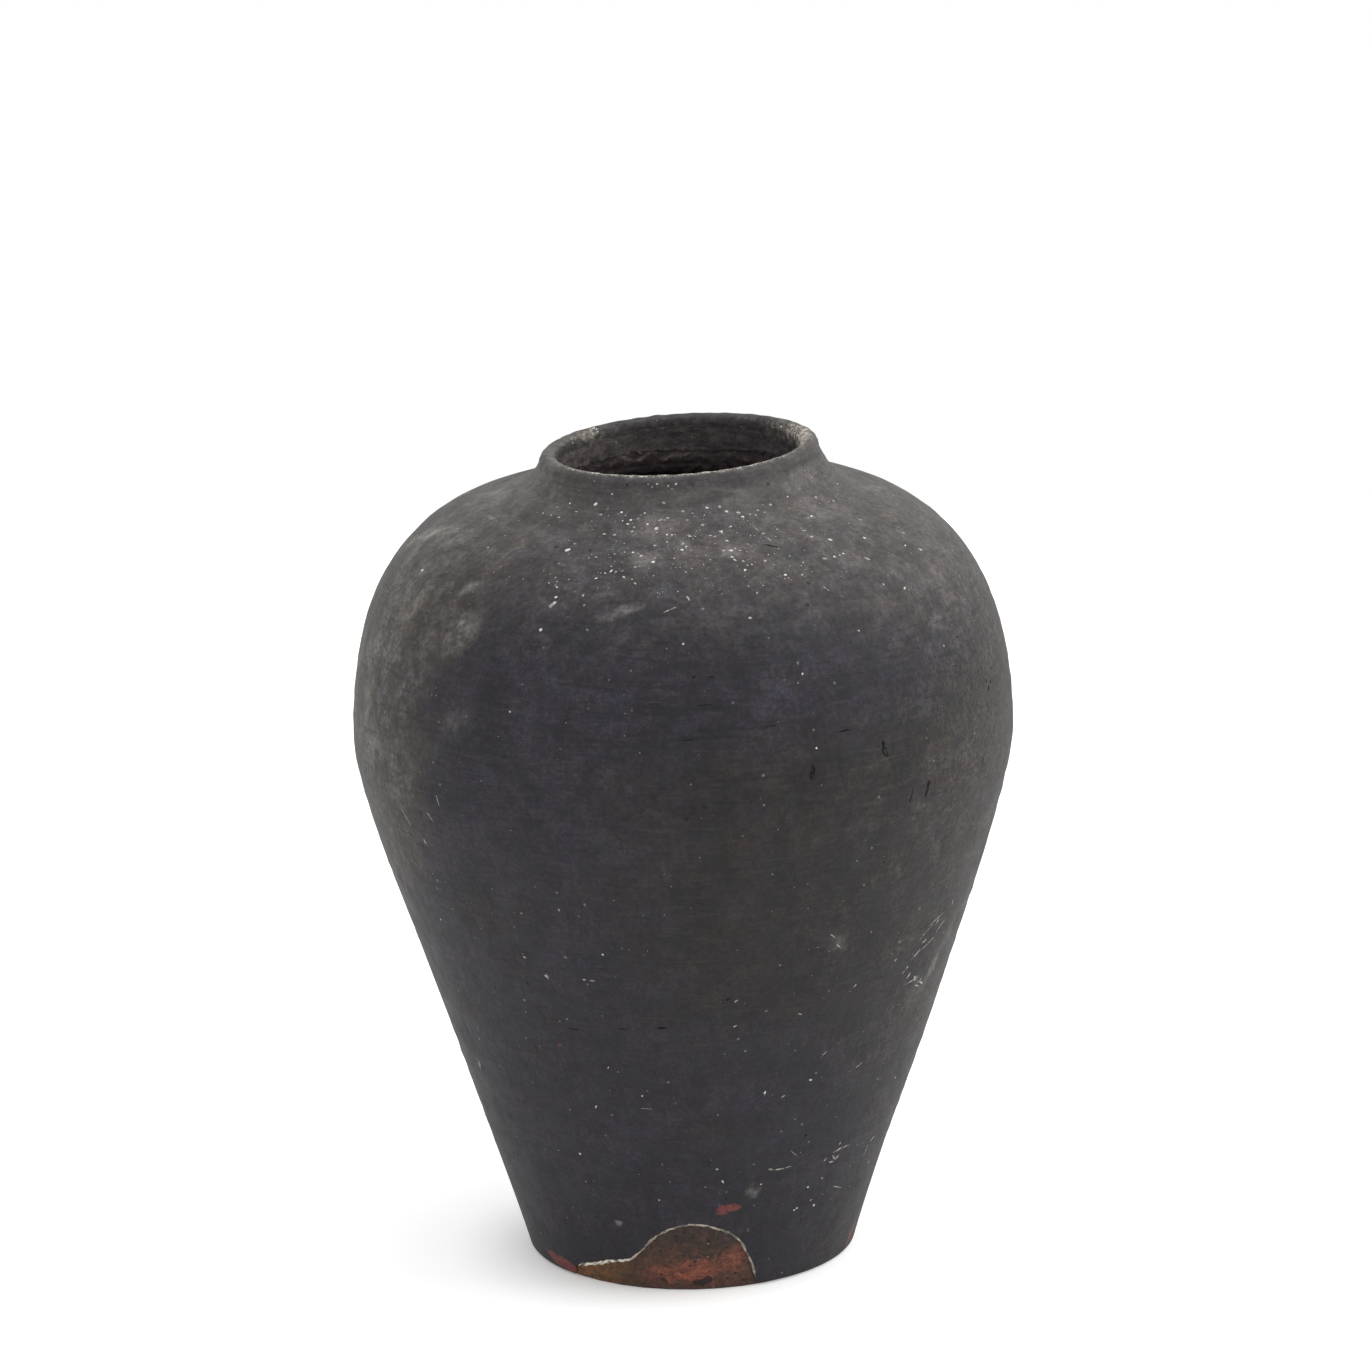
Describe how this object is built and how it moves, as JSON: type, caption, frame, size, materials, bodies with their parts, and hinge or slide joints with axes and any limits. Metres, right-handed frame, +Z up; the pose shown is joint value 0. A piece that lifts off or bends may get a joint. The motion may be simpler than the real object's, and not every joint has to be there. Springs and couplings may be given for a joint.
{
  "type": "vase",
  "caption": "Hand-thrown clay vase with a narrow foot, wide shoulder, short neck and rolled lip, dark matte coat and a bare clay patch at the foot, for holding stems in water.",
  "frame": {"origin": "on the standing surface, at the middle of the foot", "axes": "+Z up along the vase's axis to the mouth; -Y towards the bare clay patch, which is the pictured front; +X to the right as seen from the front"},
  "size_m": [0.2382, 0.2382, 0.3022],
  "materials": {
    "clay": "matte",
    "luting_slip": "matte",
    "dark_lining": "matte",
    "dark_coat": "matte"
  },
  "bodies": {
    "root": {"floor_disc": "clay", "foot_luting": "luting_slip", "lower_wall": "clay", "belly_luting": "luting_slip", "shoulder": "clay", "lip_luting": "luting_slip", "lip_ring": "clay", "inner_lining": "dark_lining", "outer_coat": "dark_coat"}
  },
  "joints": []
}
